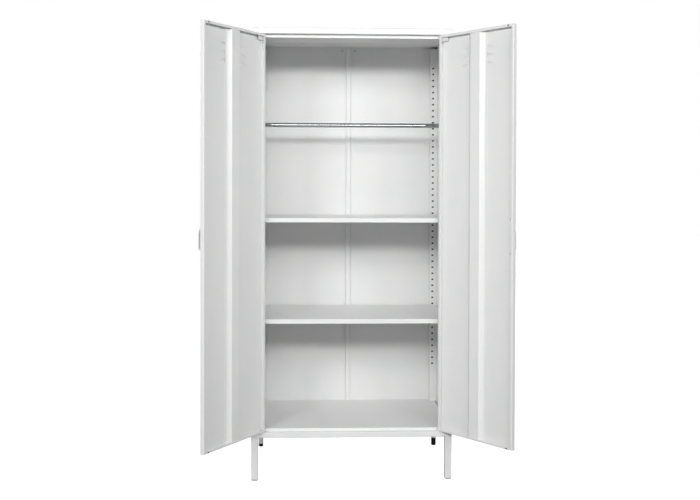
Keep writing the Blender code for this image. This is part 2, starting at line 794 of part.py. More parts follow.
cabinet = pivot("cabinet", (CENTRE_X, FRONT_Y, 0))

piece("top_panel", top_panel(), white, cabinet)
piece("floor_panel", floor_panel(), white, cabinet)
piece("back_centre_strip", back_strip(), white, cabinet)
piece("hanging_rail", hanging_rail(), chrome, cabinet)

for shelf_name, slot_number in (("upper", UPPER_SHELF_SLOT), ("lower", LOWER_SHELF_SLOT)):
    piece(f"shelf_{shelf_name}", shelf(slot_number), white, cabinet)

for side_name, side_sign in SIDES.items():
    piece(f"side_panel_{side_name}", side_panel(side_sign), white, cabinet)
    piece(f"frame_stile_{side_name}", frame_stile(side_sign), white, cabinet)
    piece(f"back_panel_{side_name}", back_panel(side_sign), white, cabinet)
    piece(f"rail_bracket_{side_name}", rail_bracket(side_sign), chrome, cabinet)
    piece(f"flange_screw_{side_name}", flange_screw(side_sign), zinc, cabinet)
    piece(f"hinge_pin_bottom_{side_name}", bottom_pin(side_sign), zinc, cabinet)
    piece(f"hinge_washer_{side_name}", hinge_washer(side_sign), grey_plastic, cabinet)
    rear_foot = REAR_FOOT_LEFT_HEIGHT if side_name == "left" else REAR_FOOT_RIGHT_HEIGHT
    for end_name, is_front, foot_height, foot_finish in (
        ("front", True, FRONT_FOOT_HEIGHT, grey_plastic),
        ("rear", False, rear_foot, black_plastic),
    ):
        piece(f"upright_{end_name}_{side_name}", upright(side_sign, is_front), white, cabinet)
        piece(f"leg_{end_name}_{side_name}", leg(side_sign, is_front, foot_height), white, cabinet)
        piece(f"foot_{end_name}_{side_name}", foot(side_sign, is_front, foot_height), foot_finish, cabinet)
        for shelf_name, slot_number in (("upper", UPPER_SHELF_SLOT), ("lower", LOWER_SHELF_SLOT)):
            clip = shelf_clip(side_sign, is_front, slot_number)
            piece(f"shelf_clip_{shelf_name}_{end_name}_{side_name}", clip, zinc, cabinet)

    open_deg = LEFT_OPEN_DEG if side_name == "left" else RIGHT_OPEN_DEG
    hinge_line = (side_sign * PIVOT_X, HINGE_DEPTH, 0)
    door = pivot(f"door_{side_name}", hinge_line, side_sign * math.radians(open_deg), cabinet)
    inward = -side_sign
    piece(f"door_panel_{side_name}", door_panel(inward), white, door)
    piece(f"door_stiffener_{side_name}", door_stiffener(inward), white, door)
    piece(f"hinge_bracket_{side_name}", hinge_bracket(inward), white, door)
    piece(f"hinge_pin_top_{side_name}", top_pin(), zinc, door)
    piece(f"door_handle_{side_name}", door_handle(inward), white, door)
    for place_name, screw_z in zip(("lower", "upper"), screw_heights()):
        piece(f"handle_screw_{place_name}_{side_name}", handle_screw(inward, screw_z), zinc, door)
    buffer_heights = (RAIL_TOP + FLOOR_STEP / 2 + GAP, HEADER_BOTTOM - HEADER_LIP / 2 - GAP)
    for place_name, buffer_z in zip(("bottom", "top"), buffer_heights):
        piece(f"door_buffer_{place_name}_{side_name}", door_buffer(inward, buffer_z), rubber, door)
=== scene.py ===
"""A white powder-coated steel wardrobe with two doors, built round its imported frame. Metres, +Z up."""

import json
import math

import bmesh
import bpy
from mathutils import Matrix, Vector


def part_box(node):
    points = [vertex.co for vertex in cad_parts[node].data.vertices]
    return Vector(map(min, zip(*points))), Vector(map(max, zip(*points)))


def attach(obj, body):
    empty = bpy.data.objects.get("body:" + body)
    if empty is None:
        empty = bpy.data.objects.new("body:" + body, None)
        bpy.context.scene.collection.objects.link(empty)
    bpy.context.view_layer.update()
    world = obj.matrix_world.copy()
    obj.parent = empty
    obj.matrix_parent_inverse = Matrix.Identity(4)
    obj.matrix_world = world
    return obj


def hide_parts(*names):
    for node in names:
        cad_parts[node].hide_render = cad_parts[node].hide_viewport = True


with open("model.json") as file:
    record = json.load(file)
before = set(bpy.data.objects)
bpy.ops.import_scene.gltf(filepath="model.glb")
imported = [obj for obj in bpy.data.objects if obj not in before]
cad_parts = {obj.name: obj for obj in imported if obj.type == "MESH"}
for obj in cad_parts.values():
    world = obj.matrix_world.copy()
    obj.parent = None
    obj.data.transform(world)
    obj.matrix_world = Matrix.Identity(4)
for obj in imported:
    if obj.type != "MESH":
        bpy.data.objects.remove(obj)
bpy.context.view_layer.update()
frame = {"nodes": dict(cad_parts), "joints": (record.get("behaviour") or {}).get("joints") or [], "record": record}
nodes = frame["nodes"]

MM = 0.001


# Colour and materials


def linear(hex_colour):
    """An sRGB hex colour as linear red, green, blue and alpha."""
    channels = [int(hex_colour[i : i + 2], 16) / 255 for i in (1, 3, 5)]
    return [c / 12.92 if c <= 0.04045 else ((c + 0.055) / 1.055) ** 2.4 for c in channels] + [1.0]


def add(tree, kind, inputs=(), **settings):
    """Adds a node, sets its properties, and fills its inputs with values or with links from other nodes."""
    made = tree.nodes.new(kind)
    for name, value in settings.items():
        setattr(made, name, value)
    for name, value in dict(inputs).items():
        if isinstance(value, bpy.types.NodeSocket):
            tree.links.new(value, made.inputs[name])
        else:
            made.inputs[name].default_value = value
    return made


def new_material(name):
    """A material with its node tree, the place that its patterns read, and its shader."""
    material = bpy.data.materials.new(name)
    material.use_nodes = True
    tree = material.node_tree
    tree.nodes.clear()
    place = add(tree, "ShaderNodeTexCoord").outputs["Object"]
    shader = add(tree, "ShaderNodeBsdfPrincipled")
    output = add(tree, "ShaderNodeOutputMaterial")
    tree.links.new(shader.outputs["BSDF"], output.inputs["Surface"])
    return material, tree, place, shader


def per_metre(size_mm):
    """A pattern scale whose features are about this size."""
    return 1 / (size_mm * MM)


def polyester_powder_coat():
    """White polyester powder, baked on: satin, with a fine orange peel over sheet that isn't quite flat."""
    material, tree, place, shader = new_material("polyester_powder_coat")
    peel = add(tree, "ShaderNodeTexNoise", {"Vector": place, "Scale": per_metre(2.2), "Detail": 2.0})
    sheet = add(tree, "ShaderNodeTexNoise", {"Vector": place, "Scale": per_metre(240), "Detail": 1.0})
    film = add(tree, "ShaderNodeTexNoise", {"Vector": place, "Scale": per_metre(90), "Detail": 3.0})
    shade = add(tree, "ShaderNodeValToRGB", {"Fac": film.outputs["Fac"]})
    shade.color_ramp.elements[0].position = 0.3
    shade.color_ramp.elements[0].color = linear("#EBECEC")
    shade.color_ramp.elements[1].position = 0.7
    shade.color_ramp.elements[1].color = linear("#EEEEED")
    gloss = add(
        tree,
        "ShaderNodeMapRange",
        {"Value": film.outputs["Fac"], "From Min": 0.3, "From Max": 0.7, "To Min": 0.36, "To Max": 0.39},
    )
    wave = add(
        tree,
        "ShaderNodeBump",
        {"Height": sheet.outputs["Fac"], "Strength": 0.25, "Distance": 0.3 * MM},
    )
    skin = add(
        tree,
        "ShaderNodeBump",
        {
            "Height": peel.outputs["Fac"],
            "Strength": 0.12,
            "Distance": 0.02 * MM,
            "Normal": wave.outputs["Normal"],
        },
    )
    tree.links.new(shade.outputs["Color"], shader.inputs["Base Color"])
    tree.links.new(gloss.outputs["Result"], shader.inputs["Roughness"])
    tree.links.new(skin.outputs["Normal"], shader.inputs["Normal"])
    shader.inputs["IOR"].default_value = 1.5
    return material


def bare_steel_painted_shade():
    """Sheet inside a closed post, coloured dark and dull as painted shade for the hollow that light hardly enters,
    with a little grey dust.
    """
    material, tree, place, shader = new_material("bare_steel_painted_shade")
    dust = add(tree, "ShaderNodeTexNoise", {"Vector": place, "Scale": per_metre(6), "Detail": 4.0})
    shade = add(tree, "ShaderNodeValToRGB", {"Fac": dust.outputs["Fac"]})
    # Painted shade: these near-black tones stand in for the dark inside of the post.
    shade.color_ramp.elements[0].color = linear("#2C2D2E")
    shade.color_ramp.elements[1].color = linear("#414243")
    tree.links.new(shade.outputs["Color"], shader.inputs["Base Color"])
    shader.inputs["Roughness"].default_value = 0.7
    return material


def chrome_plate():
    """Bright chrome over polished tube: a cool mirror with the faintest draw lines."""
    material, tree, place, shader = new_material("chrome_plate")
    haze = add(tree, "ShaderNodeTexNoise", {"Vector": place, "Scale": per_metre(15), "Detail": 4.0})
    gloss = add(tree, "ShaderNodeMapRange", {"Value": haze.outputs["Fac"], "To Min": 0.03, "To Max": 0.08})
    tree.links.new(gloss.outputs["Result"], shader.inputs["Roughness"])
    shader.inputs["Base Color"].default_value = linear("#B9BABD")
    shader.inputs["Metallic"].default_value = 1.0
    return material


def zinc_plate():
    """Bright zinc on pressed steel: dull silver, with a slightly patchy sheen."""
    material, tree, place, shader = new_material("zinc_plate")
    bloom = add(tree, "ShaderNodeTexNoise", {"Vector": place, "Scale": per_metre(4), "Detail": 5.0})
    shade = add(tree, "ShaderNodeValToRGB", {"Fac": bloom.outputs["Fac"]})
    shade.color_ramp.elements[0].color = linear("#A9ACAF")
    shade.color_ramp.elements[1].color = linear("#CFD0CE")
    gloss = add(tree, "ShaderNodeMapRange", {"Value": bloom.outputs["Fac"], "To Min": 0.28, "To Max": 0.42})
    tree.links.new(shade.outputs["Color"], shader.inputs["Base Color"])
    tree.links.new(gloss.outputs["Result"], shader.inputs["Roughness"])
    shader.inputs["Metallic"].default_value = 1.0
    return material


def moulded_plastic(name, hex_colour, roughness):
    """Moulded polypropylene with a finely sparked surface, which keeps it dull."""
    material, tree, place, shader = new_material(name)
    spark = add(tree, "ShaderNodeTexNoise", {"Vector": place, "Scale": per_metre(0.8), "Detail": 3.0})
    grain = add(
        tree,
        "ShaderNodeBump",
        {"Height": spark.outputs["Fac"], "Strength": 0.4, "Distance": 0.05 * MM},
    )
    gloss = add(
        tree,
        "ShaderNodeMapRange",
        {"Value": spark.outputs["Fac"], "To Min": roughness - 0.05, "To Max": roughness + 0.05},
    )
    tree.links.new(grain.outputs["Normal"], shader.inputs["Normal"])
    tree.links.new(gloss.outputs["Result"], shader.inputs["Roughness"])
    shader.inputs["Base Color"].default_value = linear(hex_colour)
    return material


finishes = {
    "white_powder_coat": polyester_powder_coat(),
    "chrome_plate": chrome_plate(),
    "zinc_plate": zinc_plate(),
    "black_plastic": moulded_plastic("black_polypropylene", "#1A1A1A", 0.5),
    "grey_plastic": moulded_plastic("grey_polypropylene", "#CFCFCF", 0.5),
    "grey_rubber": moulded_plastic("grey_rubber", "#7C7C7C", 0.75),
}
# Dark painted shade for the hollow inside each post.
post_painted_shade = bare_steel_painted_shade()
slot_of = {row["node"]: row["material_slot"] for row in frame["record"]["subparts"]}

for name, obj in nodes.items():
    obj.data.materials.clear()
    obj.data.materials.append(finishes[slot_of[name]])
    obj.data.set_sharp_from_angle(angle=math.radians(35))


# Sizes

SIDES = ("left", "right")
SHEET = 0.0012
GAP = 0.0003  # between pieces that touch

DOOR_THICK = 0.018
DOOR_LIP = 0.010
DOOR_ROUND = 0.0016  # outside radius of a fold
PIN_HOLE = 0.0028
MITRE = 0.0004  # width of the joint across a corner of the lip
MITRE_START = 0.0015  # in from the corner's outside
LOUVRE_COUNT = 3
LOUVRE_PITCH = 0.031
LOUVRE_HEIGHT = 0.015
LOUVRE_HALF = 0.082  # half its length
LOUVRE_WALL = 0.0009
LOUVRE_DOWN = 0.060  # from the top of the door to the first louvre
LOUVRE_SHIFT = 0.0045  # from the middle of the stiffener towards the free edge
HAT_CROWN = 0.0235  # half the flat width of the stiffener's crown
HAT_RUN = 0.0190  # across each of its side walls
HAT_CURVE = 1.6  # how late a side wall rises
HAT_STEPS = 14
HAT_ROUND = 0.0016

BAR = 0.0045  # thickness of the handle
BAR_ROUND = 0.0016
BOW_LOW = (0.0185, 0.0275)  # where the bar leaves its lower seat and meets the grip
BOW_HIGH = (0.0160, 0.0600)  # the same at the upper end
BOW_BEND = 0.0072
BOW_END_STEP = 0.0015  # between the rings of a rounded end
SCREW_HEAD = 0.0024
SHANK = 0.0018
BRIM = 0.35  # share of a screw head below its dome
RECESS_TURN = 20  # degrees

POST_ROUND = 0.0012
FIRST_SLOT = 0.170  # lowest slot above the floor panel
SLOT_PITCH = 0.0271
SLOT_END = 0.0745  # least height from the last slot to the top of the post
SLOT_HALF = (0.0044, 0.0034)
SLOT_CORNER = 0.0018

RAIL_WALL = 0.0010
RAIL_EASE = 0.0003
CUP_PLATE = 0.0025
CUP_INNER = 0.0098
CUP_OUTER = 0.0123
CUP_SCREW = (0.0026, 0.0014)  # radius and height

PLUG_INSET = 0.0019  # from the outside of a leg to the plug in it
FOOT_PAD = 0.0050
RIB_PITCH = 0.0040
RIB_WAIST = 0.93  # width between two ribs, as a share of the foot's
PIN_SHORTER = 0.0050  # than the solid that it stands for, so that the lip hides it


# Shapes


def make_object(name, builder):
    """A mesh object from a BMesh, with its faces turned outwards."""
    bmesh.ops.recalc_face_normals(builder, faces=builder.faces)
    mesh = bpy.data.meshes.new(name)
    builder.to_mesh(mesh)
    builder.free()
    obj = bpy.data.objects.new(name, mesh)
    bpy.context.scene.collection.objects.link(obj)
    return obj


def loft(name, rings, closed=False):
    """A skin through rings of points, capped at both ends or joined end to end."""
    builder = bmesh.new()
    rows = [[builder.verts.new(point) for point in ring] for ring in rings]
    pairs = list(zip(rows, rows[1:]))
    if closed:
        pairs.append((rows[-1], rows[0]))
    for one, two in pairs:
        for i in range(len(one)):
            j = (i + 1) % len(one)
            builder.faces.new((one[i], one[j], two[j], two[i]))
    if not closed:
        builder.faces.new(rows[0])
        builder.faces.new(rows[-1])
    return make_object(name, builder)


def turned(name, profile, axis, place, closed=False, steps=64):
    """A round piece from (radius, distance along its axis) points, with flat ends unless it closes."""
    spots = {"X": (1, 2, 0), "Y": (2, 0, 1), "Z": (0, 1, 2)}[axis]
    rings = []
    for radius, distance in profile:
        ring = []
        for step in range(steps):
            angle = math.tau * step / steps
            point = Vector((0, 0, 0))
            point[spots[0]] = radius * math.cos(angle)
            point[spots[1]] = radius * math.sin(angle)
            point[spots[2]] = distance
            ring.append(point + Vector(place))
        rings.append(ring)
    return loft(name, rings, closed)


def soft_box(name, x, y, z, radius=0.0, steps=4):
    """A box from three (low, high) pairs, with rounded edges."""
    (x0, x1), (y0, y1) = sorted(x), sorted(y)
    base = [(x0, y0), (x1, y0), (x1, y1), (x0, y1)]
    obj = loft(name, [[(a, b, height) for a, b in base] for height in sorted(z)])
    if radius > 0:
        builder = bmesh.new()
        builder.from_mesh(obj.data)
        edges = builder.edges[:]
        bmesh.ops.bevel(builder, geom=edges, offset=radius, segments=steps, profile=0.5, affect="EDGES")
        builder.to_mesh(obj.data)
        builder.free()
    return obj


def soft_rectangle(half_x, half_y, radius_x, radius_y, steps):
    """The outline of a rectangle about the origin, with rounded corners."""
    outline = []
    for side_x, side_y, first in ((1, 1, 0), (-1, 1, 90), (-1, -1, 180), (1, -1, 270)):
        for step in range(steps):
            angle = math.radians(first + 90 / (steps - 1) * step)
            x = side_x * (half_x - radius_x) + radius_x * math.cos(angle)
            y = side_y * (half_y - radius_y) + radius_y * math.sin(angle)
            outline.append((x, y))
    return outline


def combine(operation, body, tools):
    """Applies a Boolean with each tool in turn, and removes the tools."""
    for tool in tools:
        modifier = body.modifiers.new(operation.title(), "BOOLEAN")
        modifier.operation = operation
        modifier.solver = "EXACT"
        modifier.object = tool
    bpy.context.view_layer.update()
    graph = bpy.context.evaluated_depsgraph_get()
    result = bpy.data.meshes.new_from_object(body.evaluated_get(graph))
    body.modifiers.clear()
    body.data = result
    for tool in tools:
        bpy.data.objects.remove(tool)
    return body


def cut(body, *tools):
    return combine("DIFFERENCE", body, tools)


def join(body, *tools):
    return combine("UNION", body, tools)


def rounded(path, radius, steps):
    """The path with each inner corner turned into an arc."""
    points = [Vector(path[0])]
    for before, corner, after in zip(path, path[1:], path[2:]):
        here = Vector(corner)
        back, on = (Vector(before) - here).normalized(), (Vector(after) - here).normalized()
        half = back.angle(on) / 2
        if half > math.pi / 2 - 1e-3:
            points.append(here)
            continue
        centre = here + (back + on).normalized() * (radius / math.sin(half))
        start = here + back * (radius / math.tan(half)) - centre
        end = here + on * (radius / math.tan(half)) - centre
        for step in range(steps + 1):
            part = step / steps
            points.append(centre + (start * (1 - part) + end * part).normalized() * radius)
    points.append(Vector(path[-1]))
    return points


def lefts_of(points):
    """At each point of a flat path, the way that lies to its left."""
    ways = [(after - before).normalized() for before, after in zip(points, points[1:])]
    turns = [ways[0]] + [(one + two).normalized() for one, two in zip(ways, ways[1:])] + [ways[-1]]
    return [Vector((-way.y, way.x)) for way in turns]


def finish_piece(obj, slot, body, *stands_for):
    """Gives a piece its finish and its shading, hands it to its body, and hides the nodes it stands for."""
    obj.data.materials.clear()
    obj.data.materials.append(finishes[slot])
    for face in obj.data.polygons:
        face.use_smooth = True
    obj.data.set_sharp_from_angle(angle=math.radians(38))
    weighted = obj.modifiers.new("even_shading", "WEIGHTED_NORMAL")
    weighted.keep_sharp = True
    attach(obj, body)
    if stands_for:
        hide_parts(*stands_for)
    return obj


# Doors


class Leaf:
    """One door, drawn shut with its pivot at the origin: +Y is into the cabinet."""

    def __init__(self, side):
        joint = next(row for row in frame["joints"] if row["child"] == "door_" + side)
        self.side = side
        self.body = "door_" + side
        self.way = 1 if side == "left" else -1
        turn = math.radians(-joint["range_deg"][0]) * -self.way
        pivot = Vector((joint["pos_m"][0], joint["pos_m"][1], 0))
        self.place = Matrix.Translation(pivot) @ Matrix.Rotation(turn, 4, "Z")

    def node_box(self, node):
        """A node's corners in the shut door's own frame, measured across from the pivot."""
        back = self.place.inverted()
        points = [back @ vert.co for vert in nodes[node].data.vertices]
        points = [Vector((self.way * p.x, p.y, p.z)) for p in points]
        low = Vector([min(p[i] for p in points) for i in range(3)])
        high = Vector([max(p[i] for p in points) for i in range(3)])
        return low, high

    def across(self, *places):
        return tuple(self.way * place for place in places)

    def put(self, obj, slot, *stands_for):
        obj.matrix_world = self.place
        return finish_piece(obj, slot, self.body, *stands_for)


def louvre(leaf, name, middle, half, bottom, skin, reach, inset):
    """A pressed hood, open along its lower edge, or with an inset the space inside it."""
    rings = []
    for step in range(25):
        along = -1 + 2 * step / 24
        size = max(1 - abs(along) ** 5, 0.0) ** 0.5
        height = max(LOUVRE_HEIGHT * size - 2 * inset, 0.0004)
        out = max(reach * size - inset, 0.0)
        inner = skin + SHEET * (2.0 if inset else 0.5)
        foot = bottom - inset
        ring = [(inner, foot), (inner, foot + height)]
        for turn in range(9):
            angle = math.radians(90 * turn / 8)
            ring.append((skin - out * math.sin(angle) ** 0.7, foot + height * math.cos(angle) ** 0.8))
        ring.append((skin - out, foot))
        spot = leaf.way * (middle + along * (half - inset))
        rings.append([(spot, y, z) for y, z in ring[:-1]])
    return loft(name, rings)


def door_pan(leaf):
    """The door's skin, folded back and in again all round, with mitred corners and three pressed louvres."""
    low, high = leaf.node_box("door_panel_" + leaf.side)
    skin = high.y - DOOR_THICK
    name = f"door_{leaf.side}_pan"
    body = soft_box(name, leaf.across(low.x, high.x), (skin, high.y), (low.z, high.z), DOOR_ROUND)
    hollow = soft_box(
        "hollow",
        leaf.across(low.x + SHEET, high.x - SHEET),
        (skin + SHEET, high.y - SHEET),
        (low.z + SHEET, high.z - SHEET),
        DOOR_ROUND - SHEET,
    )
    mouth = soft_box(
        "mouth",
        leaf.across(low.x + DOOR_LIP, high.x - DOOR_LIP),
        (high.y - 2 * SHEET, high.y + SHEET),
        (low.z + DOOR_LIP, high.z - DOOR_LIP),
    )
    body = cut(body, hollow, mouth)
    stiffener_low, stiffener_high = leaf.node_box("door_stiffener_" + leaf.side)
    middle = (stiffener_low.x + stiffener_high.x) / 2 + LOUVRE_SHIFT
    hoods, slits = [], []
    for count in range(LOUVRE_COUNT):
        bottom = high.z - LOUVRE_DOWN - count * LOUVRE_PITCH - LOUVRE_HEIGHT
        span = (middle, LOUVRE_HALF, bottom, skin, skin - low.y)
        hoods.append(louvre(leaf, "hood", *span, 0.0))
        slits.append(louvre(leaf, "slit", *span, LOUVRE_WALL))
    body = join(body, *hoods)
    holes = []
    for height in (low.z, high.z):
        profile = [(PIN_HOLE, height - 2 * SHEET), (PIN_HOLE, height + 2 * SHEET)]
        holes.append(turned("hole", profile, "Z", (0, 0, 0)))
    body = cut(body, *slits, *holes, *mitres(leaf, low, high))
    return leaf.put(body, "white_powder_coat", "door_panel_" + leaf.side)


def mitres(leaf, low, high):
    """Cutters for the fine open joint across each corner of the inner lip."""
    found = []
    for x, over in ((low.x, 1), (high.x, -1)):
        for z, up in ((low.z, 1), (high.z, -1)):
            reach = DOOR_LIP + 0.001
            start = Vector((leaf.way * (x + over * MITRE_START), 0, z + up * MITRE_START))
            end = Vector((leaf.way * (x + over * reach), 0, z + up * reach))
            side = (end - start).normalized().cross(Vector((0, 1, 0))) * MITRE / 2
            base = [start - side, end - side, end + side, start + side]
            depths = (high.y - 0.0005, high.y + 0.001)
            found.append(loft("mitre", [[Vector((p.x, y, p.z)) for p in base] for y in depths]))
    return found


def door_stiffener(leaf):
    """A hat channel with soft curved walls, spot-welded behind the skin."""
    node = "door_stiffener_" + leaf.side
    low, high = leaf.node_box(node)
    middle, half = (low.x + high.x) / 2, (high.x - low.x) / 2
    foot, crown = low.y + SHEET, high.y
    wing = [(half, foot)]
    for step in range(HAT_STEPS + 1):
        up = step / HAT_STEPS
        wing.append((HAT_CROWN + HAT_RUN * (1 - up), foot + (crown - foot) * up**HAT_CURVE))
    path = [(middle + out, y) for out, y in wing] + [(middle - out, y) for out, y in reversed(wing)]
    points = rounded(path, HAT_ROUND, 3)
    lefts = lefts_of(points)
    outline = points + [point + left * SHEET for point, left in zip(points, lefts)][::-1]
    rings = [[(leaf.way * p.x, p.y, z) for p in outline] for z in (low.z, high.z)]
    return leaf.put(loft(f"door_{leaf.side}_stiffener", rings), "white_powder_coat", node)


def bow_handle(leaf):
    """A bow pull of flat bar with rounded ends, bent gently at the top and sharply at the bottom."""
    node = "door_handle_" + leaf.side
    low, high = leaf.node_box(node)
    seat, grip = high.y - BAR / 2, low.y + BAR / 2
    path = [
        (seat, low.z),
        (seat, low.z + BOW_LOW[0]),
        (grip, low.z + BOW_LOW[1]),
        (grip, high.z - BOW_HIGH[1]),
        (seat, high.z - BOW_HIGH[0]),
        (seat, high.z),
    ]
    bent = rounded(path, BOW_BEND, 8)
    points = [bent[0]]
    for before, after in zip(bent, bent[1:]):
        pieces = 1
        if after in (bent[1], bent[-1]):
            pieces = max(1, round((after - before).length / BOW_END_STEP))
        points += [before.lerp(after, (i + 1) / pieces) for i in range(pieces)]
    lefts = lefts_of(points)
    rings = []
    middle, half = (low.x + high.x) / 2, (high.x - low.x) / 2
    for point, left in zip(points, lefts):
        gap = min(point.y - low.z, high.z - point.y)
        share = 1 - min(gap / half, 1.0)
        wide = half * max(math.sqrt(max(1 - share * share, 0)), 0.35)
        ring = []
        for a, b in bar_section(half):
            spot = leaf.way * (middle + wide * a)
            ring.append((spot, point.x + left.x * BAR / 2 * b, point.y + left.y * BAR / 2 * b))
        rings.append(ring)
    return leaf.put(loft(f"door_{leaf.side}_bow_handle", rings), "white_powder_coat", node)


def bar_section(half):
    """A flat bar's cut end with rounded corners, from -1 to 1 both ways."""
    return soft_rectangle(1, 1, BAR_ROUND / half, BAR_ROUND / (BAR / 2), 5)


def pan_head(name, place, axis, way, radius, height, shank=0.0):
    """A cross-recessed pan head. It stands up from its seat in the given way along the axis."""
    profile = []
    if shank:
        profile = [(SHANK, -shank), (SHANK, 0.0)]
    profile += [(radius, 0.0), (radius, height * BRIM)]
    for step in range(1, 7):
        angle = math.radians(15 * step)
        out = radius * math.cos(angle) ** 0.6 + 1e-5
        profile.append((out, height * (BRIM + (1 - BRIM) * math.sin(angle))))
    profile = [(r, way * d) for r, d in profile]
    body = turned(name, profile, axis, place, steps=40)
    hinge, lean = {"X": ("Y", 90), "Y": ("X", -90)}[axis]
    stand = Matrix.Rotation(math.radians(lean * way), 4, hinge)
    arm, width, deep = radius * 0.52, radius * 0.13, height * 0.7
    slots = []
    for turn in (0, 90):
        blade = soft_box("blade", (-arm, arm), (-width, width), (height - deep, height + 0.001))
        spin = Matrix.Rotation(math.radians(turn + RECESS_TURN), 4, "Z")
        blade.matrix_world = Matrix.Translation(Vector(place)) @ stand @ spin
        slots.append(blade)
    return cut(body, *slots)


def handle_screws(leaf):
    """The two screws that hold the handle, seen from inside."""
    for level in ("lower", "upper"):
        node = f"handle_screw_{level}_{leaf.side}"
        low, high = leaf.node_box(node)
        radius = (high.z - low.z) / 2
        seat = high.y - SCREW_HEAD
        place = (leaf.way * (low.x + high.x) / 2, seat, (low.z + high.z) / 2)
        name = f"door_{leaf.side}_{level}_screw"
        head = pan_head(name, place, "Y", 1, radius, SCREW_HEAD, seat - low.y)
        leaf.put(head, "zinc_plate", node)


for side in SIDES:
    leaf = Leaf(side)
    door_pan(leaf)
    door_stiffener(leaf)
    bow_handle(leaf)
    handle_screws(leaf)


# Body


def hanging_rail():
    """A length of chromed tube with its cut ends eased."""
    low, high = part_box("hanging_rail")
    radius, half = (high.z - low.z) / 2, (high.x - low.x) / 2
    ends = [(radius - RAIL_EASE, half), (radius, half - RAIL_EASE)]
    outer = [(r, -d) for r, d in ends] + [(r, d) for r, d in reversed(ends)]
    profile = outer + [(radius - RAIL_WALL, half), (radius - RAIL_WALL, -half)]
    middle = (low + high) / 2
    tube = turned("chrome_rail", profile, "X", middle, closed=True)
    finish_piece(tube, "chrome_plate", "cabinet", "hanging_rail")


def rail_cup(side):
    """A cast cup with a round flange and two screws, chromed like the rail."""
    node = "rail_bracket_" + side
    way = 1 if side == "right" else -1
    low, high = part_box(node)
    wall = high.x if way > 0 else low.x
    middle = Vector((0, (low.y + high.y) / 2, (low.z + high.z) / 2))
    flange, deep = (high.z - low.z) / 2, high.x - low.x
    plate, inner, outer = CUP_PLATE, CUP_INNER, CUP_OUTER
    profile = [(flange, 0), (flange, plate * 0.55)]
    profile += [(flange - 0.0006, plate * 0.85), (flange - 0.0016, plate)]
    profile += [(outer + 0.0012, plate), (outer + 0.0003, plate + 0.0004), (outer, plate + 0.0014)]
    profile += [(outer, deep - 0.0006), (outer - 0.0006, deep)]
    profile += [(inner + 0.0003, deep), (inner, deep - 0.0003), (inner, plate)]
    cup = turned("rail_cup_" + side, [(r, wall - way * d) for r, d in profile], "X", middle)
    finish_piece(cup, "chrome_plate", "cabinet", node)
    for number, up in ((1, 1), (2, -1)):
        place = Vector((wall - way * plate, middle.y, middle.z + up * (flange + outer) / 2))
        screw = pan_head(f"cup_screw_{side}_{number}", place, "X", -way, *CUP_SCREW)
        finish_piece(screw, "zinc_plate", "cabinet")


def flange_screws():
    """The two screws in the middle of the top's rear flange."""
    for side in SIDES:
        node = "flange_screw_" + side
        low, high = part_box(node)
        place = Vector(((low.x + high.x) / 2, high.y, (low.z + high.z) / 2))
        radius, height = (high.z - low.z) / 2, high.y - low.y
        head = pan_head("back_screw_" + side, place, "Y", -1, radius, height)
        finish_piece(head, "zinc_plate", "cabinet", node)


def upright(side, level):
    """A slotted post of closed section, with a flange that meets the side panel."""
    node = f"upright_{level}_{side}"
    low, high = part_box(node)
    way = 1 if side == "right" else -1
    outer, inner = (high.x, low.x) if way > 0 else (low.x, high.x)
    wall_low, wall_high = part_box("side_panel_" + side)
    panel = (wall_high.x if way > 0 else wall_low.x) - way * (SHEET + GAP)
    face, back = (low.y, high.y) if level == "rear" else (high.y, low.y)
    into = 1 if back > face else -1
    heights = (low.z, high.z)
    body = soft_box(f"post_{level}_{side}", (inner, outer), (face, back), heights, POST_ROUND, 3)
    hollow = soft_box(
        "hollow",
        (inner + way * SHEET, outer - way * SHEET),
        (face + into * SHEET, back - into * SHEET),
        (low.z - SHEET, high.z + SHEET),
    )
    body = cut(body, hollow)
    flange = soft_box(
        "flange",
        (outer - way * SHEET, panel),
        (face + into * 0.0002, face + into * (SHEET + 0.0002)),
        heights,
    )
    body = join(body, flange)
    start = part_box("floor_panel")[1].z + FIRST_SLOT
    body = cut(body, slots_cutter((low.x + high.x) / 2, face, start, high.z - SLOT_END))
    finish_piece(body, "white_powder_coat", "cabinet", node)
    paint_post_shade(body, low, high)


def paint_post_shade(body, low, high):
    """Gives the inner faces of a post the dark painted shade of its unlit hollow."""
    body.data.materials.append(post_painted_shade)
    room = ((high.x - low.x) / 2 - SHEET, (high.y - low.y) / 2 - SHEET)
    centre = (low + high) / 2
    for polygon in body.data.polygons:
        off = polygon.center - centre
        if abs(off.x) < room[0] + 1e-5 and abs(off.y) < room[1] + 1e-5:
            polygon.material_index = 1


def slots_cutter(x, face, start, end):
    """One cutter for the whole column of slots, each with well-rounded corners."""
    builder = bmesh.new()
    depths = (face - 2 * SHEET, face + 2 * SHEET)
    count = 0
    while start + count * SLOT_PITCH < end:
        z = start + count * SLOT_PITCH
        outline = soft_rectangle(*SLOT_HALF, SLOT_CORNER, SLOT_CORNER, 4)
        slot = loft("slot", [[(x + across, y, z + up) for across, up in outline] for y in depths])
        builder.from_mesh(slot.data)
        bpy.data.objects.remove(slot)
        count += 1
    return make_object("slots", builder)


def front_foot(side):
    """A grey plug in the leg's end, with a domed glide below it."""
    node = "foot_front_" + side
    low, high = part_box(node)
    leg_low, leg_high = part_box("leg_front_" + side)
    middle = (low + high) / 2
    half = (high.x - low.x) / 2
    rim = leg_low.z
    profile = [(half * 0.55, low.z), (half * 0.78, low.z + 0.0006), (half * 0.92, low.z + 0.0022)]
    profile += [(half, low.z + FOOT_PAD), (half, rim)]
    rings = [foot_ring(middle, size, height, 0.35) for size, height in profile]
    plug = plug_in(leg_low, leg_high, middle, rim, high.z)
    body = join(loft("front_foot_" + side, rings), plug)
    finish_piece(body, "grey_plastic", "cabinet", node)


def foot_ring(middle, half, height, corner):
    """A level square ring with rounded corners, whose radius is a share of its half width."""
    outline = soft_rectangle(half, half, half * corner, half * corner, 6)
    return [(middle.x + x, middle.y + y, height) for x, y in outline]


